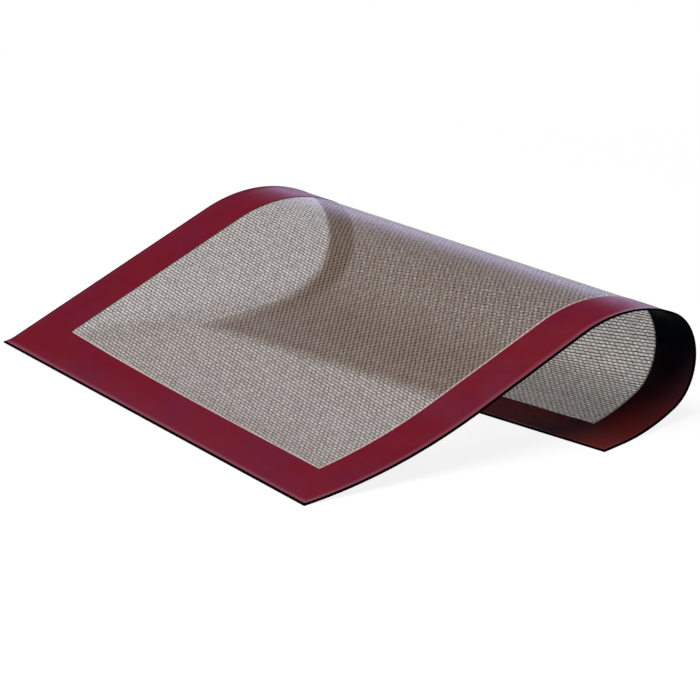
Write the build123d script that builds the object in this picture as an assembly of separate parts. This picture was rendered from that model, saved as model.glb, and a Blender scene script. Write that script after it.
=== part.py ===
from build123d import *

import math
import os

# A silicone baking mat on a worktop, with its far end curled over and tucked under itself.
# It is a woven glass cloth between two coats of silicone, and a coloured silicone border
# runs round both faces and wraps the cut edge.
#
# The cloth doesn't stretch, so the mat only bends, about straight fold lines that cross it
# from its left edge to its right edge. Every layer is a loft through those lines, and the
# loft's flat faces are made true planes, so the flap has a plane to rest on.
#
# +X runs along the front edge, +Y back from it and +Z up. The origin is on the worktop,
# in the middle of the space that the mat takes. Sizes are in millimetres.

# The mat laid flat
mat_width = 300.0
mat_length = 400.0
side_border = 28.5
end_border = 30.5

# The layers
cloth_thickness = 0.30
coat_thickness = 0.18
border_thickness = 0.15
bond_line = 0.02
edge_seal = 1.0

# The bend, zone by zone from the front edge. A share says how far along the mat's length
# the zone ends, at its left edge and at its right edge. The first zone's fold lines fan
# out from the left front corner, so the mat bends there as a cone does.
#                    lift    ramp    crest   curl    tuck    flap
left_edge_shares = (0.0200, 0.3875, 0.5750, 0.7500, 0.9125, 1.0)
right_edge_shares = (0.3000, 0.4825, 0.6575, 0.8300, 0.9575, 1.0)

# How far each zone turns the mat, in degrees, upwards if positive. The ramp and the flap
# are flat, and the curl turns until the front of the mat comes down on the worktop.
lift_deg = 20.0
crest_deg = -47.0
tuck_deg = -18.5
least_curl_deg = -100.0
most_curl_deg = -175.0
fold_deg = 3.0

# Making
settling_steps = 40
same_place = 0.000001
cutter_overrun = 3.0
narrowest_strip = 0.5

# Half thicknesses, from the middle of the cloth outwards
cloth_top = cloth_thickness / 2
coat_bottom = cloth_top + bond_line
coat_top = coat_bottom + coat_thickness
pocket_top = coat_top + bond_line
mat_top = pocket_top + border_thickness


def fold_lines(curl_turn):
    """The flat mat's fold lines: y at its left edge, y at its right edge, turn there."""
    turns = (lift_deg, 0, crest_deg, curl_turn, tuck_deg, 0)
    lines = [(0, 0, 0)]
    for left_share, right_share, turn in zip(left_edge_shares, right_edge_shares, turns):
        left, right, turn_before = lines[-1]
        strips = max(1, math.ceil(abs(turn) / fold_deg))
        lines[-1] = (left, right, turn_before + turn / strips / 2)
        left_step = (left_share * mat_length - left) / strips
        right_step = (right_share * mat_length - right) / strips
        for strip in range(1, strips + 1):
            turn_here = turn / strips / (2 if strip == strips else 1)
            lines.append((left + strip * left_step, right + strip * right_step, turn_here))
    return lines


def bent_strips(lines):
    """Where each flat strip between two fold lines goes, with the flap on the worktop."""
    here = Location()
    strips = []
    for left, right, turn in lines[:-1]:
        skew = math.degrees(math.atan2(right - left, mat_width))
        fold = Location((0, left, 0), (0, 0, skew))
        here = here * fold * Location((0, 0, 0), (turn, 0, 0)) * fold.inverse()
        strips.append(here)
    flap_down = Location((0, 0, mat_top), (180, 0, 0)) * strips[-1].inverse()
    return [flap_down * strip for strip in strips]


def front_height(curl_turn):
    """How high the lowest point of the front of the mat is above the worktop."""
    lines = fold_lines(curl_turn)
    strips = bent_strips(lines)
    lift_strips = math.ceil(abs(lift_deg) / fold_deg)
    corners = [
        strip * Pos(x, y, -mat_top)
        for strip, (left, right, _) in list(zip(strips, lines))[: lift_strips + 1]
        for x, y in ((0, left), (mat_width, right))
    ]
    return min(corner.position.Z for corner in corners)


def settled_curl_turn():
    """The curl's turn that brings the front of the mat down to the worktop."""
    high, low = least_curl_deg, most_curl_deg
    for _ in range(settling_steps):
        middle = (high + low) / 2
        if front_height(middle) > 0:
            high = middle
        else:
            low = middle
    return high


def in_row_frame(strips):
    """The strips turned so that the front edge is along X, with the origin centred."""
    front_left, front_right = (
        (strips[0] * Pos(x, 0, 0)).position for x in (0, mat_width)
    )
    front = front_right - front_left
    turned = [Rot(0, 0, -math.degrees(math.atan2(front.Y, front.X))) * s for s in strips]
    corners = [
        (strip * Pos(x, y, height)).position
        for strip, before, after in zip(turned, folds, folds[1:])
        for height in (-mat_top, mat_top)
        for x, y in (
            (0, before[0]),
            (mat_width, before[1]),
            (0, after[0]),
            (mat_width, after[1]),
        )
    ]
    middle_x = (min(c.X for c in corners) + max(c.X for c in corners)) / 2
    middle_y = (min(c.Y for c in corners) + max(c.Y for c in corners)) / 2
    return [Pos(-middle_x, -middle_y, 0) * strip for strip in turned]


def fold_y(fold, x):
    """A fold line's y on the flat mat at x."""
    left, right, _ = fold
    return left + (right - left) * x / mat_width


def bent_point(x, y):
    """A flat point's place on the bent mat, and its normal, mitred on a fold line."""
    touching = [
        plane
        for plane, before, after in zip(strip_planes, folds, folds[1:])
        if fold_y(before, x) - same_place <= y <= fold_y(after, x) + same_place
    ]
    first, last = touching[0], touching[-1]
    mitre = (first.z_dir + last.z_dir) / (1 + first.z_dir.dot(last.z_dir))
    return first.from_local_coords((x, y, 0)), mitre


def layer(inset_x, inset_y, bottom, top):
    """A layer of the bent mat between two heights, inset from the mat's edges."""
    left_x, right_x = inset_x, mat_width - inset_x
    front_y, back_y = inset_y, mat_length - inset_y
    ends = [(front_y, front_y)]
    for fold in folds:
        left_y, right_y = fold_y(fold, left_x), fold_y(fold, right_x)
        if max(left_y, right_y) > front_y and max(left_y, right_y) < back_y:
            left_before, right_before = ends[-1]
            left_y = max(left_y, left_before + narrowest_strip)
            right_y = max(right_y, right_before + narrowest_strip)
            ends.append((left_y, right_y))
    ends.append((back_y, back_y))
    sections = []
    for left_y, right_y in ends:
        left, left_mitre = bent_point(left_x, left_y)
        right, right_mitre = bent_point(right_x, right_y)
        normal = (left_mitre + right_mitre) / 2
        corners = [
            left + normal * bottom,
            right + normal * bottom,
            right + normal * top,
            left + normal * top,
        ]
        sections.append(Wire.make_polygon(corners))
    loft = Solid.make_loft(sections, ruled=True)
    skins = [Face(skin.outer_wire()) if skin.is_planar else skin for skin in loft.faces()]
    return Solid(Shell(skins))


def glass_cloth():
    """The woven glass cloth that keeps the mat from stretching."""
    inset = edge_seal + bond_line
    return layer(inset, inset, -cloth_top, cloth_top)


def baking_coat():
    """The silicone coat that the dough lies on."""
    inset = edge_seal + bond_line
    return layer(inset, inset, coat_bottom, coat_top)


def tray_coat():
    """The silicone coat that lies on the tray."""
    inset = edge_seal + bond_line
    return layer(inset, inset, -coat_top, -coat_bottom)


def coloured_border():
    """The frame of coloured silicone on both faces, joined round the cloth's cut edge."""
    whole = layer(0, 0, -mat_top, mat_top)
    pocket = layer(edge_seal, edge_seal, -pocket_top, pocket_top)
    cut_top = mat_top + cutter_overrun
    window = layer(side_border, end_border, -cut_top, cut_top)
    return whole - pocket - window


os.makedirs("parts", exist_ok=True)
folds = fold_lines(settled_curl_turn())
strip_planes = [Plane(strip) for strip in in_row_frame(bent_strips(folds))]

for make in (glass_cloth, baking_coat, tray_coat, coloured_border):
    export_step(make(), f"parts/{make.__name__}.step")
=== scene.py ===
import math

import bpy
import numpy as np
from mathutils import Matrix, Vector


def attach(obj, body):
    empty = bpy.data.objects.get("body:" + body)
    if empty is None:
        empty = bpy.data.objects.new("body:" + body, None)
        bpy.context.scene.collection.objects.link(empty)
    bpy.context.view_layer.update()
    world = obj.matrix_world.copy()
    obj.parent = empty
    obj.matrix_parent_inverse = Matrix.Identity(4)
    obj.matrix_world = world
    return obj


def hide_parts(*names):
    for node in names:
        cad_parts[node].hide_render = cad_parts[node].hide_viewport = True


# A silicone baking mat on a worktop, with its far end curled over and tucked under itself.
# Metres, in the row frame: +X along the front edge, +Y back from it, +Z up.

# The mat laid flat
MAT_WIDTH = 0.300
MAT_LENGTH = 0.400
SIDE_BORDER = 0.0285
END_BORDER = 0.0305
HALF_THICKNESS = 0.00052
EDGE_SEAL = 0.0010

# The bend, as in the part's source but with finer folds: where each zone ends along the left
# and the right edge, and how far it turns the mat. The curl turns until the front comes down
# on the worktop.
LEFT_EDGE_SHARES = (0.0200, 0.3875, 0.5750, 0.7500, 0.9125, 1.0)
RIGHT_EDGE_SHARES = (0.3000, 0.4825, 0.6575, 0.8300, 0.9575, 1.0)
LIFT_TURN = 20.0
CREST_TURN = -47.0
TUCK_TURN = -18.5
LEAST_CURL_TURN = -100.0
MOST_CURL_TURN = -175.0
TURN_AT_A_FOLD = 1.0
SETTLING_STEPS = 40

# The weave: yarn pitch across and along the mat, how far a weft yarn drifts along the mat on
# its way across, and how high a yarn stands
WARP_PITCH = 0.00180
WEFT_PITCH = 0.00197
WEFT_DRIFT = 0.05
YARN_RELIEF = 0.0004

# Noise is mostly around a half, so what uses it takes a range in the middle. A second noise
# is the same one, moved this far aside.
NOISE_ASIDE = (5.3, 2.7, 1.1)

# How the yarns wander: the noise's scale and range, and how far they go, in pitches
WANDER_SCALE = 300
WANDER_RANGE = (0.2, 0.8)
WARP_WANDER = 0.20
WEFT_WANDER = 0.12

# A yarn's section, in pitches from its middle: where its top ends and where it is down. The
# upper yarn keeps a share of its height to its ends, and the lower one is that much lower.
UPPER_TOP = 0.12
UPPER_DOWN = 0.46
UPPER_KEPT = 0.35
LOWER_TOP = 0.16
LOWER_DOWN = 0.42
LOWER_HEIGHT = 0.35

# The furrow between two weft yarns, in pitches from a yarn's middle
FURROW_START = 0.20
FURROW_FULL = 0.44

# A pit where a warp yarn shows: how narrow it is across and along the slant that pits line up
# on, and how far from its middle it is whole and ends, in pitches
PIT_ACROSS = 0.95
PIT_ALONG = 0.40
PIT_WHOLE = 0.15
PIT_END = 0.48

# Colours are a surface's own shares of red, green and blue
WHITE = (1, 1, 1, 1)

# The cloth's colours, with painted shade in the furrows and pits, and how much of the furrows'
# shade shows
WEFT_COLOR = (0.375, 0.272, 0.208, 1)
WARP_COLOR = (0.222, 0.155, 0.116, 1)
PAINTED_FURROW_SHADE = (0.09, 0.056, 0.038, 1)
PIT_COLOR = (0.010, 0.006, 0.004, 1)
FILLET_AND_HIGHLIGHT_COLOR = (0.80, 0.62, 0.60, 1)
FURROW_SHADE_SHARE = 0.35
SHEEN_TINT = (0.62, 0.52, 1.0, 1)

# What darkens a yarn, the most of it that shows, and its noise's scale and range: each
# crossing's own shade, streaks along the weft, and clouds
OWN_SHADE = (0.45, 0.45, 0.45, 1)
OWN_SHARE = 0.5
STREAK_SHADE = (0.92, 0.88, 0.84, 1)
STREAK_SHARE = 0.25
STREAK_SCALES = (40, 520, 1)
STREAK_RANGE = (0.35, 0.7)
CLOUD_SHADE = (0.86, 0.80, 0.76, 1)
CLOUD_SHARE = 0.35
CLOUD_SCALE = 28
CLOUD_RANGE = (0.35, 0.65)

# The pale fillet of silicone along the border's window, partly a painted highlight on the near
# edges: how far in it is full and ends, how much shows beside the far edges, and how much of
# its colour it has
FILLET_FULL = 0.0004
FILLET_END = 0.0016
FILLET_AT_FAR_EDGES = 0.3
FILLET_SHARE = 0.6

# Light through the cloth: the share that goes straight through and the share that glows, and
# the glow's colour in the yarns and where no light comes through
CLEARNESS = 0.50
GLOW_SHARE = 0.15
GLOW_COLOR = (0.91, 0.94, 0.97, 1)
GLOW_PIT_COLOR = (0.03, 0.03, 0.03, 1)

# How much of that light furrows and pits take away, seen from above and from under, what the
# darkest crossing leaves of it, and how much less of it a shadow ray gets
FURROW_DIMS = 1.0
FURROW_DIMS_UNDER = 0.92
PIT_DIMS = 0.20
PIT_DIMS_UNDER = 0.50
DARKEST_CROSSING = 0.7
SHADOW_DIMS = 0.2

# The tint of what shows straight through, seen from above and from under
CLEAR_TINT = (0.88, 0.93, 1.0, 1)
CLEAR_TINT_UNDER = (0.94, 0.89, 0.84, 1)

# The border's colours: two that cloud into each other on its upper face, two darker ones on its
# underside as painted shade, and the painted shade that it deepens to in the curl
BORDER_RED = (0.130, 0.0055, 0.013, 1)
BORDER_PURPLE = (0.118, 0.0063, 0.020, 1)
SHADED_UNDER_RED = (0.100, 0.0085, 0.0070, 1)
SHADED_UNDER_BROWN = (0.080, 0.0085, 0.0070, 1)
PAINTED_CURL_SHADE = (0.004, 0.012, 0.022, 1)
# A painted highlight line for the front and right edges, and the rim's near black painted shade
PAINTED_EDGE_HIGHLIGHT = (0.170, 0.040, 0.060, 1)
PAINTED_RIM_SHADE = (0.002, 0.0004, 0.0007, 1)
BORDER_CLOUD_SCALE = 22
BORDER_CLOUD_RANGE = (0.38, 0.62)

# The border's surface: its fine grain and relief, and its smudges, from smoothest to roughest
GRAIN_SCALE = 2600
BORDER_RELIEF = 0.00002
SMUDGE_SCALE = 60
SMUDGE_RANGE = (0.3, 0.7)
SMOOTHEST = 0.28
ROUGHEST = 0.36

# The lamp
SOFT_BOX_PLACE = (-0.05, -0.55, 1.90)
SOFT_BOX_SIZE = 1.6
SOFT_BOX_POWER = 58

# The surroundings: their light, what gloss sees of them, and the lilac card that only gloss
# sees, low behind the mat: up to what height, how strong, which way, and how far round
AMBIENT_COLOR = (0.95, 0.97, 1, 1)
AMBIENT = 0.03
DARK_STUDIO = 0.01
CARD_FULL = 0.06
CARD_END = 0.45
CARD_COLOR = (0.64, 0.60, 1.0, 1)
CARD_STRENGTH = 1.9
CARD_SIDE = (-0.79, 0.61, 0.0)
CARD_EDGE = 0.80
CARD_MIDDLE = 0.95

# The floor's paint: for the light on the mat, for the camera, and for the camera through one
# layer of the cloth, which is darker as painted shade under the mat
FLOOR_COLOR = (0.08, 0.08, 0.08, 1)
FLOOR_SEEN = (0.95, 0.95, 0.95, 1)
FLOOR_SHADED_UNDER_CLOTH = (0.74, 0.74, 0.74, 1)
FLOOR_HALF = 12.0

# How far the floor is lifted to white: beside the mat, from which it grows to all white
# between two distances, in gloss, through the cloth, and through a blurred edge under the cloth
FLOOR_LIFT = 0.88
FLOOR_NEAR = 0.25
FLOOR_FAR = 0.90
FLOOR_LIFT_MIRRORED = 0.15
# The lower lifts through the cloth and at a blurred edge are painted shade under the mat
FLOOR_LIFT_THROUGH = 0.61
FLOOR_LIFT_BLURRED = 0.28

# Near a contact the floor is darker through the cloth, as painted contact shade: within what
# reach, and what is left
CONTACT_REACH = 0.015
CONTACT_LEAST = 0.74
CONTACT_SAMPLES = 8

# Mesh steps on the flat mat, and how many points of each side edge are used to centre it
ROW_STEP = 0.0010
COLUMN_STEP = 0.0030
EDGE_POINTS = 801

# The border's section, from its outer edge to its inner one: distance in, then height, both
# in millimetres. The outer rim is sealed and rounds down; the inner lip steps to the cloth.
RIM_SECTION = (
    (-0.50, 0.00), (-0.46, 0.22), (-0.32, 0.40), (-0.05, 0.49), (0.30, 0.52), (0.65, 0.52),
    (1.00, 0.50), (1.45, 0.45), (2.00, 0.37), (2.55, 0.30), (3.10, 0.27), (4.00, 0.26),
)
LIP_SECTION = ((0.90, 0.26), (0.50, 0.25), (0.25, 0.22), (0.08, 0.16), (0.00, 0.09), (0.00, 0.00))

# The section's steps: how many run level between those two parts, and how many from its
# outer edge are the rim, painted dark as shade
LEVEL_STEPS = 8
RIM_STEPS = 5

# The bake map: the upper face is an island in its left half and the lower face in its right
BAKE_ISLAND = 0.48
BAKE_HALF = 0.5
QUAD_CORNERS = 4

# The border's materials, in their order on its mesh
UPPER_FACE = 0
LOWER_FACE = 1
RIM = 2

# Edges blur when they are seen through the cloth: from where to where along the mat the blur
# grows, how wide it is there, and how much of it the window's edges have
BLUR_START = 0.235
BLUR_FULL = 0.370
BLUR_LEAST = 0.006
BLUR_MOST = 0.029
INNER_BLUR = 0.7

# How far in from the edge the rim stays dark with painted shade, and where it is plain again
RIM_DARK = 0.0006
RIM_CLEAR = 0.0010

# Darker at the front right corner, by the distance from that corner
CORNER_DARK_FULL = 0.0016
CORNER_DARK_END = 0.0026

# The shadow in the step down to the cloth, by the distance from the window, and its depth
STEP_DARK = 0.0001
STEP_END = 0.0005
STEP_SHADE = 0.85

# Up to where along the mat the painted shade on the border's underside is full, and from where
# it is plain
CURL_SHADE_FULL = 0.275
CURL_SHADE_END = 0.375

# The painted highlight inside the rim on the front and right edges: where it starts, is full,
# ends
HIGHLIGHT_START = 0.0007
HIGHLIGHT_FULL = 0.0014
HIGHLIGHT_END = 0.0048

# The camera, fitted to the photograph's edges
CAMERA_PLACE = (1.13150, -0.87840, 0.49930)
CAMERA_AZIMUTH = 52.2156
CAMERA_ELEVATION = 18.5081
CAMERA_ROLL = 2.2759
CAMERA_LENS = 136.035
CAMERA_SENSOR = 36
CAMERA_REACH = 20


def turned(axis, degrees):
    """A 4x4 turn about X or Z."""
    return np.array(Matrix.Rotation(math.radians(degrees), 4, axis), dtype=float)


def moved(x, y, z):
    """A 4x4 move."""
    matrix = np.eye(4)
    matrix[:3, 3] = (x, y, z)
    return matrix


def fold_lines(curl_turn):
    """The flat mat's fold lines: y at its left edge, y at its right edge, turn there."""
    turns = (LIFT_TURN, 0, CREST_TURN, curl_turn, TUCK_TURN, 0)
    lines = [(0.0, 0.0, 0.0)]
    for left_share, right_share, turn in zip(LEFT_EDGE_SHARES, RIGHT_EDGE_SHARES, turns):
        left, right, turn_before = lines[-1]
        strips = max(1, math.ceil(abs(turn) / TURN_AT_A_FOLD))
        lines[-1] = (left, right, turn_before + turn / strips / 2)
        left_step = (left_share * MAT_LENGTH - left) / strips
        right_step = (right_share * MAT_LENGTH - right) / strips
        for strip in range(1, strips + 1):
            turn_here = turn / strips / (2 if strip == strips else 1)
            lines.append((left + strip * left_step, right + strip * right_step, turn_here))
    return lines


def bent_strips(lines):
    """Where each flat strip between two fold lines goes, with the flap on the worktop."""
    here = np.eye(4)
    strips = []
    for left, right, turn in lines[:-1]:
        skew = math.degrees(math.atan2(right - left, MAT_WIDTH))
        fold = moved(0, left, 0) @ turned("Z", skew)
        here = here @ fold @ turned("X", turn) @ np.linalg.inv(fold)
        strips.append(here)
    flap_down = moved(0, 0, HALF_THICKNESS) @ turned("X", 180) @ np.linalg.inv(strips[-1])
    return [flap_down @ strip for strip in strips]


def front_height(curl_turn):
    """How high the lowest point of the front of the mat is above the worktop."""
    lines = fold_lines(curl_turn)
    strips = bent_strips(lines)
    lift_strips = math.ceil(abs(LIFT_TURN) / TURN_AT_A_FOLD)
    heights = []
    for strip, (left, right, _) in list(zip(strips, lines))[: lift_strips + 1]:
        for x, y in ((0, left), (MAT_WIDTH, right)):
            heights.append((strip @ (x, y, -HALF_THICKNESS, 1))[2])
    return min(heights)


def settled_curl_turn():
    """The curl's turn that brings the front of the mat down to the worktop."""
    high, low = LEAST_CURL_TURN, MOST_CURL_TURN
    for _ in range(SETTLING_STEPS):
        middle = (high + low) / 2
        if front_height(middle) > 0:
            high = middle
        else:
            low = middle
    return high


class BentMat:
    """Takes a place on the flat mat, and a height above its middle, to the bent one."""

    def __init__(self):
        self.lines = fold_lines(settled_curl_turn())
        self.strips = np.array(bent_strips(self.lines))
        # Turned so that the front edge is along X
        corners = self.strips[0] @ np.array([[0, MAT_WIDTH], [0, 0], [0, 0], [1, 1]])
        along = corners[:, 1] - corners[:, 0]
        self.strips = turned("Z", -math.degrees(math.atan2(along[1], along[0]))) @ self.strips
        # Moved so that the middle of the space that the mat takes is over the origin
        ys = np.linspace(0, MAT_LENGTH, EDGE_POINTS)
        edge = [(x, y, 0) for y in ys for x in (0, MAT_WIDTH)]
        outline = self.place(np.array(edge))
        middle = (outline.min(axis=0) + outline.max(axis=0)) / 2
        self.strips = moved(-middle[0], -middle[1], 0) @ self.strips

    def place(self, flat):
        """Flat x, y and height to the row frame, for rows of points."""
        left = np.array([line[0] for line in self.lines[1:-1]])
        right = np.array([line[1] for line in self.lines[1:-1]])
        folds_y = left + (right - left) * flat[:, :1] / MAT_WIDTH
        strip = (flat[:, 1:2] > folds_y).sum(axis=1)
        whole = np.column_stack([flat, np.ones(len(flat))])
        return np.einsum("nij,nj->ni", self.strips[strip], whole)[:, :3]


def mesh_piece(name, mat, flat, quads, bake_places):
    """A piece bent from flat places, which its material reads as the attribute flat."""
    mesh = bpy.data.meshes.new(name)
    mesh.from_pydata(mat.place(flat).tolist(), [], quads)
    attribute = mesh.attributes.new("flat", "FLOAT_VECTOR", "POINT")
    attribute.data.foreach_set("vector", flat.astype(np.float32).ravel())
    layer = mesh.uv_layers.new(name="OFBake")
    layer.data.foreach_set("uv", bake_places.astype(np.float32).ravel())
    mesh.shade_smooth()
    piece = bpy.data.objects.new(name, mesh)
    bpy.context.scene.collection.objects.link(piece)
    return piece


def woven_sheet(mat):
    """The silicone-coated cloth, which runs on between the border's two faces."""
    columns = round((MAT_WIDTH - 2 * EDGE_SEAL) / COLUMN_STEP) + 1
    rows = round((MAT_LENGTH - 2 * EDGE_SEAL) / ROW_STEP) + 1
    xs = np.linspace(EDGE_SEAL, MAT_WIDTH - EDGE_SEAL, columns)
    ys = np.linspace(EDGE_SEAL, MAT_LENGTH - EDGE_SEAL, rows)
    flat = np.array([(x, y, 0.0) for y in ys for x in xs])
    quads = []
    for row in range(rows - 1):
        for column in range(columns - 1):
            first = row * columns + column
            quads.append((first, first + 1, first + columns + 1, first + columns))
    bake_places = flat[np.array(quads).ravel(), :2] / MAT_LENGTH
    return mesh_piece("woven_sheet", mat, flat, quads, bake_places)


def border_loop(side_in, end_in, height):
    """Flat points round the mat, that far in from its sides and its ends."""
    rows = round(MAT_LENGTH / ROW_STEP)
    columns = round(MAT_WIDTH / COLUMN_STEP)
    left, right = side_in, MAT_WIDTH - side_in
    front, back = end_in, MAT_LENGTH - end_in
    xs = np.linspace(left, right, columns + 1)
    ys = np.linspace(front, back, rows + 1)
    points = [(x, front) for x in xs[:-1]]
    points += [(right, y) for y in ys[:-1]]
    points += [(x, back) for x in xs[:0:-1]]
    points += [(left, y) for y in ys[:0:-1]]
    return [(x, y, height) for x, y in points]


def border_section():
    """The border's upper half section: distance in at the sides, at the ends, height."""
    section = [(d / 1000, d / 1000, h / 1000) for d, h in RIM_SECTION]
    rim_in = section[-1][0]
    lip_in = LIP_SECTION[0][0] / 1000
    height = section[-1][2]
    for step in range(1, LEVEL_STEPS):
        share = step / LEVEL_STEPS
        side = rim_in + share * (SIDE_BORDER - lip_in - rim_in)
        end = rim_in + share * (END_BORDER - lip_in - rim_in)
        section.append((side, end, height))
    for d, h in LIP_SECTION:
        section.append((SIDE_BORDER - d / 1000, END_BORDER - d / 1000, h / 1000))
    return section


def unrolled_section(upper):
    """The same section with its walls laid flat, so that each has room in the bake."""
    unrolled = [(0.0, 0.0)]
    for before, after in zip(upper, upper[1:]):
        rise = after[2] - before[2]
        side = unrolled[-1][0] + math.hypot(after[0] - before[0], rise)
        end = unrolled[-1][1] + math.hypot(after[1] - before[1], rise)
        unrolled.append((side, end))
    return unrolled


def coloured_border(mat):
    """The coloured silicone round both faces, closed round the rim."""
    upper = border_section()
    lower = [(side, end, -height) for side, end, height in upper[-2:0:-1]]
    loops = [border_loop(*place) for place in upper + lower]
    unrolled = unrolled_section(upper)
    bake_loops = [border_loop(side, end, 0) for side, end in unrolled + unrolled[-2:0:-1]]
    around = len(loops[0])
    flat = np.array([point for loop in loops for point in loop])
    quads = []
    for ring in range(len(loops)):
        following = (ring + 1) % len(loops)
        for step in range(around):
            onward = (step + 1) % around
            quads.append((
                ring * around + step,
                ring * around + onward,
                following * around + onward,
                following * around + step,
            ))
    first_lower = (len(upper) - 1) * around
    spread = np.array([point[:2] for loop in bake_loops for point in loop])
    bake_places = spread[np.array(quads).ravel()] * (BAKE_ISLAND / MAT_LENGTH)
    bake_places[first_lower * QUAD_CORNERS :, 0] += BAKE_HALF
    piece = mesh_piece("border_silicone", mat, flat, quads, bake_places)
    face = np.full(len(quads), UPPER_FACE, dtype=np.int32)
    face[first_lower:] = LOWER_FACE
    face[: RIM_STEPS * around] = RIM
    face[-RIM_STEPS * around :] = RIM
    piece.data.polygons.foreach_set("material_index", face)
    return piece


class Nodes:
    """Adds nodes to a material or a world in few words."""

    def __init__(self, owner):
        owner.use_nodes = True
        self.tree = owner.node_tree
        self.tree.nodes.clear()

    def add(self, kind, inputs=(), **settings):
        """A node with its settings, and its inputs linked or set."""
        node = self.tree.nodes.new(kind)
        for name, value in settings.items():
            setattr(node, name, value)
        for name, value in dict(inputs).items():
            self.put(node.inputs[name], value)
        return node

    def put(self, socket, value):
        """Links an input to an output, or sets it to a value."""
        if isinstance(value, bpy.types.NodeSocket):
            self.tree.links.new(value, socket)
        else:
            socket.default_value = value

    def maths(self, operation, *values):
        """What one maths node gives."""
        inputs = dict(enumerate(values))
        return self.add("ShaderNodeMath", inputs, operation=operation).outputs[0]

    def ramp(self, value, low, high, start=0.0, end=1.0):
        """Runs smoothly from start to end while the value goes from low to high."""
        places = {0: value, 1: low, 2: high, 3: start, 4: end}
        node = self.add("ShaderNodeMapRange", places, interpolation_type="SMOOTHSTEP")
        return node.outputs[0]

    def blend(self, share, first, second):
        """A number between two."""
        inputs = {0: share, 2: first, 3: second}
        return self.add("ShaderNodeMix", inputs, data_type="FLOAT").outputs[0]

    def tint(self, share, first, second, blend_type="MIX"):
        """A colour between two."""
        inputs = {0: share, 6: first, 7: second}
        settings = {"data_type": "RGBA", "blend_type": blend_type}
        return self.add("ShaderNodeMix", inputs, **settings).outputs[2]

    def noise(self, place, scale, detail):
        """Noise from 0 to 1, mostly around a half."""
        inputs = {"Vector": place, "Scale": scale, "Detail": detail}
        return self.add("ShaderNodeTexNoise", inputs).outputs[0]

    def aside(self, place):
        """The same place moved aside, for a second noise."""
        inputs = {"Vector": place, "Location": NOISE_ASIDE}
        return self.add("ShaderNodeMapping", inputs).outputs[0]

    def flat_place(self):
        """The place on the flat mat in metres: the vector, x and y."""
        flat = self.add("ShaderNodeAttribute", attribute_name="flat").outputs["Vector"]
        parts = self.add("ShaderNodeSeparateXYZ", {0: flat}).outputs
        return flat, parts[0], parts[1]


def beside_middle(nodes, place):
    """How far a place is from the middle of its yarn, in pitches."""
    return nodes.maths("ABSOLUTE", nodes.maths("SUBTRACT", nodes.maths("FRACT", place), 0.5))


def every_other(nodes, first, second):
    """1 or 0, by turns, over the squares of a board of whole places."""
    half = nodes.maths("DIVIDE", nodes.maths("ADD", first, second), 2)
    return nodes.maths("MULTIPLY", nodes.maths("FRACT", half), 2)


def yarn_height(nodes, weft_up, off_warp, off_weft):
    """How high the yarns stand: the upper one, and the lower one that shows beside it."""
    across = nodes.blend(weft_up, off_warp, off_weft)
    along = nodes.blend(weft_up, off_weft, off_warp)
    upper = nodes.ramp(across, UPPER_TOP, UPPER_DOWN, 1, 0)
    crown = nodes.maths("COSINE", nodes.maths("MULTIPLY", along, math.pi))
    upper = nodes.maths("MULTIPLY", upper, nodes.blend(UPPER_KEPT, crown, 1.0))
    lower = nodes.ramp(along, LOWER_TOP, LOWER_DOWN, LOWER_HEIGHT, 0)
    return nodes.maths("MAXIMUM", upper, lower)


def pit_at(nodes, warps, wefts, weft_up, under):
    """How deep a place is in a slanting pit, which slants the other way from below."""
    beside = nodes.maths("SUBTRACT", nodes.maths("FRACT", warps), 0.5)
    beside = nodes.maths("MULTIPLY", beside, nodes.blend(under, 1.0, -1.0))
    beyond = nodes.maths("SUBTRACT", nodes.maths("FRACT", wefts), 0.5)
    across = nodes.maths("MULTIPLY", nodes.maths("ADD", beside, beyond), PIT_ACROSS)
    along = nodes.maths("MULTIPLY", nodes.maths("SUBTRACT", beside, beyond), PIT_ALONG)
    apart = nodes.add("ShaderNodeCombineXYZ", {0: across, 1: along}).outputs[0]
    apart = nodes.add("ShaderNodeVectorMath", {0: apart}, operation="LENGTH").outputs["Value"]
    pit = nodes.ramp(apart, PIT_WHOLE, PIT_END, 1, 0)
    return nodes.maths("MULTIPLY", pit, nodes.maths("SUBTRACT", 1, weft_up))


def weave(nodes, flat, x, y):
    """The plain weave at a flat place.

    Gives the yarns' height, how far it is in a furrow and in a pit, 1 where the weft is on
    top, a number of each crossing's own, and 1 where the mat is seen from below.
    """
    drift = nodes.maths("MULTIPLY", x, WEFT_DRIFT)
    loose_x = nodes.noise(flat, WANDER_SCALE, detail=1)
    loose_x = nodes.ramp(loose_x, *WANDER_RANGE, -WARP_WANDER, WARP_WANDER)
    loose_y = nodes.noise(nodes.aside(flat), WANDER_SCALE, detail=1)
    loose_y = nodes.ramp(loose_y, *WANDER_RANGE, -WEFT_WANDER, WEFT_WANDER)
    warps = nodes.maths("ADD", nodes.maths("DIVIDE", x, WARP_PITCH), loose_x)
    wefts = nodes.maths("DIVIDE", nodes.maths("ADD", y, drift), WEFT_PITCH)
    wefts = nodes.maths("ADD", wefts, loose_y)
    off_warp = beside_middle(nodes, warps)
    off_weft = beside_middle(nodes, wefts)
    warp = nodes.maths("FLOOR", warps)
    weft = nodes.maths("FLOOR", wefts)
    weft_up = every_other(nodes, warp, weft)

    height = yarn_height(nodes, weft_up, off_warp, off_weft)
    furrow = nodes.ramp(off_weft, FURROW_START, FURROW_FULL)
    under = nodes.add("ShaderNodeNewGeometry").outputs["Backfacing"]
    pit = pit_at(nodes, warps, wefts, weft_up, under)

    crossing = nodes.add("ShaderNodeCombineXYZ", {0: warp, 1: weft}).outputs[0]
    own = nodes.add("ShaderNodeTexWhiteNoise", {"Vector": crossing}).outputs[0]
    return height, furrow, pit, weft_up, own, under


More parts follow.
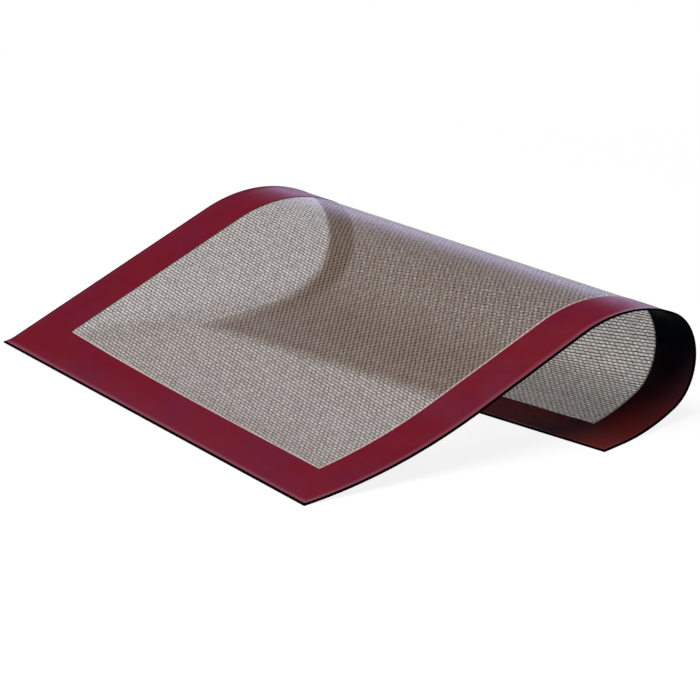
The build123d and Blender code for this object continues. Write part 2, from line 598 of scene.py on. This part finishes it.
def window_distances(nodes, x, y):
    """How far a place is inside the near edges of the border's window, and the far ones."""
    to_right = nodes.maths("SUBTRACT", MAT_WIDTH - SIDE_BORDER, x)
    to_front = nodes.maths("SUBTRACT", y, END_BORDER)
    to_left = nodes.maths("SUBTRACT", x, SIDE_BORDER)
    to_back = nodes.maths("SUBTRACT", MAT_LENGTH - END_BORDER, y)
    near = nodes.maths("MINIMUM", to_right, to_front)
    far = nodes.maths("MINIMUM", to_left, to_back)
    return near, far


def fillet(nodes, x, y):
    """How much silicone fills the corner between the cloth and the window, partly a painted
    highlight.
    """
    near, far = window_distances(nodes, x, y)
    return nodes.maths(
        "MULTIPLY",
        nodes.ramp(near, FILLET_FULL, FILLET_END, 1, 0),
        nodes.ramp(far, FILLET_FULL, FILLET_END, FILLET_AT_FAR_EDGES, 1),
    )


def woven_color(nodes, flat, furrow, pit, weft_up, own, filled):
    """The yarns, painted shade in the furrows and pits, and the border's fillet and its
    highlight.
    """
    stretched = nodes.add("ShaderNodeMapping", {"Vector": flat, "Scale": STREAK_SCALES})
    streaks = nodes.noise(stretched.outputs[0], 1.0, detail=1)
    streaky = nodes.ramp(streaks, *STREAK_RANGE, 0, STREAK_SHARE)
    clouds = nodes.noise(flat, CLOUD_SCALE, detail=3)
    clouded = nodes.ramp(clouds, *CLOUD_RANGE, 0, CLOUD_SHARE)

    color = nodes.tint(weft_up, WARP_COLOR, WEFT_COLOR)
    color = nodes.tint(nodes.ramp(own, 0, 1, 0, OWN_SHARE), color, OWN_SHADE, "MULTIPLY")
    # Painted shade in the furrows between the weft rows and in the pits
    color = nodes.tint(nodes.maths("MULTIPLY", furrow, FURROW_SHADE_SHARE), color, PAINTED_FURROW_SHADE)
    color = nodes.tint(pit, color, PIT_COLOR)
    color = nodes.tint(streaky, color, STREAK_SHADE, "MULTIPLY")
    color = nodes.tint(clouded, color, CLOUD_SHADE, "MULTIPLY")
    # The fillet, its pale colour partly a painted highlight on the front and right edges
    return nodes.tint(nodes.maths("MULTIPLY", filled, FILLET_SHARE), color, FILLET_AND_HIGHLIGHT_COLOR)


def light_share(nodes, furrow, pit, own, under):
    """How much light a place lets through, where the middle of a yarn lets through 1."""
    in_furrow = nodes.blend(under, 1 - FURROW_DIMS, 1 - FURROW_DIMS_UNDER)
    in_pit = nodes.blend(under, 1 - PIT_DIMS, 1 - PIT_DIMS_UNDER)
    past_furrow = nodes.ramp(furrow, 0, 1, 1, in_furrow)
    past_pit = nodes.ramp(pit, 0, 1, 1, in_pit)
    share = nodes.maths("MULTIPLY", past_furrow, past_pit)
    return nodes.maths("MULTIPLY", share, nodes.ramp(own, 0, 1, 1.0, DARKEST_CROSSING))


def woven_material():
    """Glass cloth between clear silicone coats: it glows softly with the light behind it."""
    material = bpy.data.materials.new("coated_glass_cloth")
    nodes = Nodes(material)
    flat, x, y = nodes.flat_place()
    height, furrow, pit, weft_up, own, under = weave(nodes, flat, x, y)
    filled = fillet(nodes, x, y)
    color = woven_color(nodes, flat, furrow, pit, weft_up, own, filled)
    lit = light_share(nodes, furrow, pit, own, under)

    bump = {"Height": height, "Distance": YARN_RELIEF, "Strength": 1.0}
    relief = nodes.add("ShaderNodeBump", bump)
    shader = nodes.add("ShaderNodeBsdfPrincipled", {
        "Base Color": color,
        "Roughness": 0.40,
        "Specular IOR Level": 0.12,
        "Coat Weight": 0.8,
        "Coat Roughness": 0.17,
        "Sheen Weight": 0.10,
        "Sheen Roughness": 0.30,
        "Sheen Tint": SHEEN_TINT,
        "Normal": relief.outputs[0],
    }).outputs[0]
    through = nodes.tint(lit, GLOW_PIT_COLOR, GLOW_COLOR)
    glow = nodes.add("ShaderNodeBsdfTranslucent", {"Color": through}).outputs[0]
    body = nodes.add("ShaderNodeMixShader", {0: GLOW_SHARE, 1: shader, 2: glow}).outputs[0]
    clear_tint = nodes.tint(under, CLEAR_TINT, CLEAR_TINT_UNDER)
    clear = nodes.add("ShaderNodeBsdfTransparent", {"Color": clear_tint}).outputs[0]
    open_share = nodes.maths("MULTIPLY", lit, CLEARNESS)
    open_share = nodes.maths("MULTIPLY", open_share, nodes.maths("SUBTRACT", 1, filled))
    path = nodes.add("ShaderNodeLightPath").outputs
    shade = nodes.maths("MULTIPLY", path["Is Shadow Ray"], SHADOW_DIMS)
    open_share = nodes.maths("MULTIPLY", open_share, nodes.maths("SUBTRACT", 1, shade))
    cloth = nodes.add("ShaderNodeMixShader", {0: open_share, 1: body, 2: clear}).outputs[0]
    cover = blurred_cover(nodes, edge_distance(nodes, x, y), y, 1.0)
    nodes.add("ShaderNodeOutputMaterial", {"Surface": seen_veiled(nodes, cloth, cover)})
    return material


def edge_distance(nodes, x, y):
    """How far a place is in from the mat's outer edge."""
    off_side = nodes.maths("ABSOLUTE", nodes.maths("SUBTRACT", x, MAT_WIDTH / 2))
    off_end = nodes.maths("ABSOLUTE", nodes.maths("SUBTRACT", y, MAT_LENGTH / 2))
    to_side = nodes.maths("SUBTRACT", MAT_WIDTH / 2, off_side)
    to_end = nodes.maths("SUBTRACT", MAT_LENGTH / 2, off_end)
    return nodes.maths("MINIMUM", to_side, to_end)


def blurred_cover(nodes, distance, y, share):
    """How much a place covers, that far in from an edge that the cloth above it blurs."""
    width = nodes.ramp(y, BLUR_START, BLUR_FULL, BLUR_LEAST * share, BLUR_MOST * share)
    return nodes.ramp(nodes.maths("DIVIDE", distance, width), 0, 1)


def came_through(nodes, depth, surfaces):
    """1 where a ray has come through more than that many see-through surfaces."""
    return nodes.maths("GREATER_THAN", depth, surfaces + 0.5)


def seen_veiled(nodes, shader, cover):
    """The shader as it is, but seen through the cloth above it only as much as it covers."""
    depth = nodes.add("ShaderNodeLightPath").outputs["Transparent Depth"]
    veiled = came_through(nodes, depth, 0)
    faded = nodes.maths("MULTIPLY", veiled, nodes.maths("SUBTRACT", 1, cover))
    clear = nodes.add("ShaderNodeBsdfTransparent", {"Color": WHITE}).outputs[0]
    return nodes.add("ShaderNodeMixShader", {0: faded, 1: shader, 2: clear}).outputs[0]


def border_color(nodes, flat, x, y, first, second, on_top):
    """Two colours that cloud together, with painted shade near black on the rim and in the inner
    step.

    on_top is 1 for the upper face, which has the painted highlight line, and 0 for the
    underside, which deepens into the curl as painted shade.
    """
    cloudy = nodes.noise(flat, BORDER_CLOUD_SCALE, detail=2)
    color = nodes.tint(nodes.ramp(cloudy, *BORDER_CLOUD_RANGE), first, second)
    # Painted shade that darkens the underside into the curl
    deep = nodes.ramp(y, CURL_SHADE_FULL, CURL_SHADE_END, 1 - on_top, 0)
    color = nodes.tint(deep, color, PAINTED_CURL_SHADE)
    # A painted highlight line inside the rim along the front and right edges
    near_edge = nodes.maths("MINIMUM", nodes.maths("SUBTRACT", MAT_WIDTH, x), y)
    line = nodes.maths(
        "MULTIPLY",
        nodes.ramp(near_edge, HIGHLIGHT_START, HIGHLIGHT_FULL),
        nodes.ramp(near_edge, HIGHLIGHT_FULL, HIGHLIGHT_END, 1, 0),
    )
    color = nodes.tint(nodes.maths("MULTIPLY", line, on_top), color, PAINTED_EDGE_HIGHLIGHT)
    return nodes.tint(border_dark(nodes, flat, x, y), color, PAINTED_RIM_SHADE)


def border_dark(nodes, flat, x, y):
    """Painted shade on the border's rim and in its inner step, and darker at the front right
    corner.
    """
    rim = nodes.ramp(edge_distance(nodes, x, y), RIM_DARK, RIM_CLEAR, 1, 0)
    near, far = window_distances(nodes, x, y)
    from_window = nodes.maths("ABSOLUTE", nodes.maths("MINIMUM", near, far))
    step = nodes.ramp(from_window, STEP_DARK, STEP_END, STEP_SHADE, 0)
    # Darker near the front right corner
    places = {0: flat, 1: (MAT_WIDTH, 0, 0)}
    from_corner = nodes.add("ShaderNodeVectorMath", places, operation="DISTANCE")
    corner_dark = nodes.ramp(from_corner.outputs["Value"], CORNER_DARK_FULL, CORNER_DARK_END, 1, 0)
    return nodes.maths("MAXIMUM", nodes.maths("MAXIMUM", rim, step), corner_dark)


def border_material(name, first, second, on_top, gloss, sheen):
    """Burgundy silicone: smooth satin, with the cloth under it just telling through."""
    material = bpy.data.materials.new(name)
    nodes = Nodes(material)
    flat, x, y = nodes.flat_place()
    color = border_color(nodes, flat, x, y, first, second, on_top)
    yarns = nodes.maths("MULTIPLY", weave(nodes, flat, x, y)[0], 0.5)
    grain = nodes.maths("MULTIPLY", nodes.noise(flat, GRAIN_SCALE, detail=3), 0.5)
    height = nodes.maths("ADD", yarns, grain)
    bump = {"Height": height, "Distance": BORDER_RELIEF, "Strength": 0.6}
    relief = nodes.add("ShaderNodeBump", bump)
    smudges = nodes.noise(flat, SMUDGE_SCALE, detail=3)
    roughness = nodes.ramp(smudges, *SMUDGE_RANGE, SMOOTHEST, ROUGHEST)
    shader = nodes.add("ShaderNodeBsdfPrincipled", {
        "Base Color": color,
        "Roughness": roughness,
        "Specular IOR Level": gloss,
        "Sheen Weight": sheen,
        "Sheen Roughness": 0.30,
        "Sheen Tint": SHEEN_TINT,
        "Normal": relief.outputs[0],
    }).outputs[0]
    near, far = window_distances(nodes, x, y)
    from_window = nodes.maths("MULTIPLY", nodes.maths("MINIMUM", near, far), -1)
    outer = blurred_cover(nodes, edge_distance(nodes, x, y), y, 1.0)
    inner = blurred_cover(nodes, from_window, y, INNER_BLUR)
    cover = nodes.maths("MULTIPLY", outer, inner)
    nodes.add("ShaderNodeOutputMaterial", {"Surface": seen_veiled(nodes, shader, cover)})
    return material


def floor_lift_through(nodes, depth, in_window):
    """How far the floor is lifted to white where it is seen through the cloth; less is painted
    shade.

    depth counts the surfaces in front of it. One is the raised cloth, two are that and the
    flap's cloth, and three or more are that and the flap's blurred border, which has two
    faces.
    """
    in_blur = came_through(nodes, depth, 2)
    contact = {"Distance": CONTACT_REACH}
    settings = {"samples": CONTACT_SAMPLES}
    open_above = nodes.add("ShaderNodeAmbientOcclusion", contact, **settings).outputs["AO"]
    # Near a contact, less lift: painted contact shade
    least = nodes.blend(in_window, CONTACT_LEAST * FLOOR_LIFT_THROUGH, 0.0)
    least = nodes.blend(in_blur, least, FLOOR_LIFT_BLURRED)
    return nodes.ramp(open_above, 0, 1, least, FLOOR_LIFT_THROUGH)


def floor_material():
    """A pale floor that the camera sees near white, with the mat's shadow and painted shade on
    it.
    """
    material = bpy.data.materials.new("pale_floor")
    nodes = Nodes(material)
    path = nodes.add("ShaderNodeLightPath").outputs
    place = nodes.add("ShaderNodeNewGeometry").outputs["Position"]
    away = nodes.add("ShaderNodeVectorMath", {0: place}, operation="LENGTH").outputs["Value"]
    lift_beside = nodes.ramp(away, FLOOR_NEAR, FLOOR_FAR, FLOOR_LIFT, 1.0)
    depth = path["Transparent Depth"]
    veiled = came_through(nodes, depth, 0)
    in_window = came_through(nodes, depth, 1)
    lift_through = floor_lift_through(nodes, depth, in_window)
    lift = nodes.blend(veiled, lift_beside, lift_through)

    share = nodes.maths("MULTIPLY", path["Is Camera Ray"], lift)
    mirrored = nodes.maths("MULTIPLY", path["Is Glossy Ray"], FLOOR_LIFT_MIRRORED)
    through = nodes.maths("MULTIPLY", path["Is Transmission Ray"], lift_through)
    share = nodes.maths("MAXIMUM", share, nodes.maths("MAXIMUM", mirrored, through))
    seen = nodes.maths("GREATER_THAN", share, 0)
    # Through one layer of the cloth the floor's paint is darker, as painted shade under the mat
    once = nodes.maths("SUBTRACT", veiled, in_window)
    seen_color = nodes.tint(once, FLOOR_SEEN, FLOOR_SHADED_UNDER_CLOTH)
    color = nodes.tint(seen, FLOOR_COLOR, seen_color)
    white = nodes.add("ShaderNodeEmission", {"Color": WHITE, "Strength": 1.0})
    paint = nodes.add("ShaderNodeBsdfDiffuse", {"Color": color})
    whole = nodes.add("ShaderNodeMixShader", {0: share, 1: paint.outputs[0], 2: white.outputs[0]})
    nodes.add("ShaderNodeOutputMaterial", {"Surface": whole.outputs[0]})
    material.cycles.emission_sampling = "NONE"
    return material


def add_world():
    """White to the camera and low down through the cloth, soft light, and the lilac card."""
    world = bpy.data.worlds.new("studio")
    bpy.context.scene.world = world
    nodes = Nodes(world)
    path = nodes.add("ShaderNodeLightPath").outputs
    sky = nodes.add("ShaderNodeTexCoord").outputs["Generated"]
    height = nodes.add("ShaderNodeSeparateXYZ", {0: sky}).outputs[2]
    low = nodes.ramp(height, CARD_FULL, CARD_END, 1, 0)
    toward = nodes.add("ShaderNodeVectorMath", {0: sky, 1: CARD_SIDE}, operation="DOT_PRODUCT")
    behind = nodes.ramp(toward.outputs["Value"], CARD_EDGE, CARD_MIDDLE)
    in_gloss = nodes.maths("MULTIPLY", path["Is Glossy Ray"], behind)
    in_gloss_or_cloth = nodes.maths("MAXIMUM", in_gloss, path["Is Transmission Ray"])
    low_down = nodes.maths("MULTIPLY", in_gloss_or_cloth, low)
    seen = nodes.maths("MAXIMUM", path["Is Camera Ray"], low_down)
    color = nodes.tint(path["Is Glossy Ray"], WHITE, CARD_COLOR)
    strength = nodes.blend(path["Is Glossy Ray"], 1.0, CARD_STRENGTH)
    card = nodes.add("ShaderNodeBackground", {"Color": color, "Strength": strength})
    ambient = nodes.blend(path["Is Glossy Ray"], AMBIENT, DARK_STUDIO)
    soft = nodes.add("ShaderNodeBackground", {"Color": AMBIENT_COLOR, "Strength": ambient})
    whole = nodes.add("ShaderNodeMixShader", {0: seen, 1: soft.outputs[0], 2: card.outputs[0]})
    nodes.add("ShaderNodeOutputWorld", {"Surface": whole.outputs[0]})


def add_camera():
    """The camera at the photograph's place."""
    camera = bpy.data.cameras.new("camera")
    camera.lens = CAMERA_LENS
    camera.sensor_width = CAMERA_SENSOR
    camera.clip_end = CAMERA_REACH
    seen = bpy.data.objects.new("camera", camera)
    turn = Matrix.Rotation(math.radians(CAMERA_AZIMUTH), 4, "Z")
    tilt = Matrix.Rotation(math.radians(90 - CAMERA_ELEVATION), 4, "X")
    roll = Matrix.Rotation(math.radians(CAMERA_ROLL), 4, "Z")
    seen.matrix_world = Matrix.Translation(CAMERA_PLACE) @ turn @ tilt @ roll
    bpy.context.scene.collection.objects.link(seen)
    bpy.context.scene.camera = seen


def add_soft_box():
    """The one lamp, a soft box above the front of the mat, turned to the origin."""
    lamp = bpy.data.lights.new("soft_box", "AREA")
    lamp.shape = "DISK"
    lamp.size = SOFT_BOX_SIZE
    lamp.energy = SOFT_BOX_POWER
    box = bpy.data.objects.new("soft_box", lamp)
    box.location = SOFT_BOX_PLACE
    to_origin = -Vector(SOFT_BOX_PLACE)
    box.rotation_euler = to_origin.to_track_quat("-Z", "Y").to_euler()
    bpy.context.scene.collection.objects.link(box)


def add_floor():
    """A square floor, which is the stage and no part of the mat."""
    mesh = bpy.data.meshes.new("floor")
    half = FLOOR_HALF
    mesh.from_pydata(
        [(-half, -half, 0), (half, -half, 0), (half, half, 0), (-half, half, 0)],
        [],
        [(0, 1, 2, 3)],
    )
    floor = bpy.data.objects.new("floor", mesh)
    bpy.context.scene.collection.objects.link(floor)
    floor.data.materials.append(floor_material())


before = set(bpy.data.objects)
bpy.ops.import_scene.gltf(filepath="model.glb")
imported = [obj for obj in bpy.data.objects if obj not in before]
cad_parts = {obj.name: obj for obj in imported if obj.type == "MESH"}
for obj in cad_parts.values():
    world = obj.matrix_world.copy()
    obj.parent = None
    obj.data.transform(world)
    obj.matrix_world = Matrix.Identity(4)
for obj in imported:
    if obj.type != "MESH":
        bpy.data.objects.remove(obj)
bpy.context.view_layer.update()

bpy.context.scene.view_settings.view_transform = "Standard"
mat = BentMat()
add_camera()
add_floor()
add_world()
add_soft_box()

sheet = woven_sheet(mat)
sheet.data.materials.append(woven_material())
border = coloured_border(mat)
upper = border_material(
    "burgundy_silicone", BORDER_RED, BORDER_PURPLE, on_top=1.0, gloss=0.15, sheen=0.30
)
# The underside, darker as painted shade
lower = border_material(
    "burgundy_silicone_shaded_under", SHADED_UNDER_RED, SHADED_UNDER_BROWN, on_top=0.0, gloss=0.03, sheen=0.0
)
# The rim, painted near black as shade
rim = border_material(
    "burgundy_silicone_shaded_rim", PAINTED_RIM_SHADE, PAINTED_RIM_SHADE, on_top=1.0, gloss=0.0, sheen=0.0
)
for material in (upper, lower, rim):
    border.data.materials.append(material)

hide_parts("glass_cloth", "baking_coat", "tray_coat")
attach(sheet, "root")
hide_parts("coloured_border")
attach(border, "root")
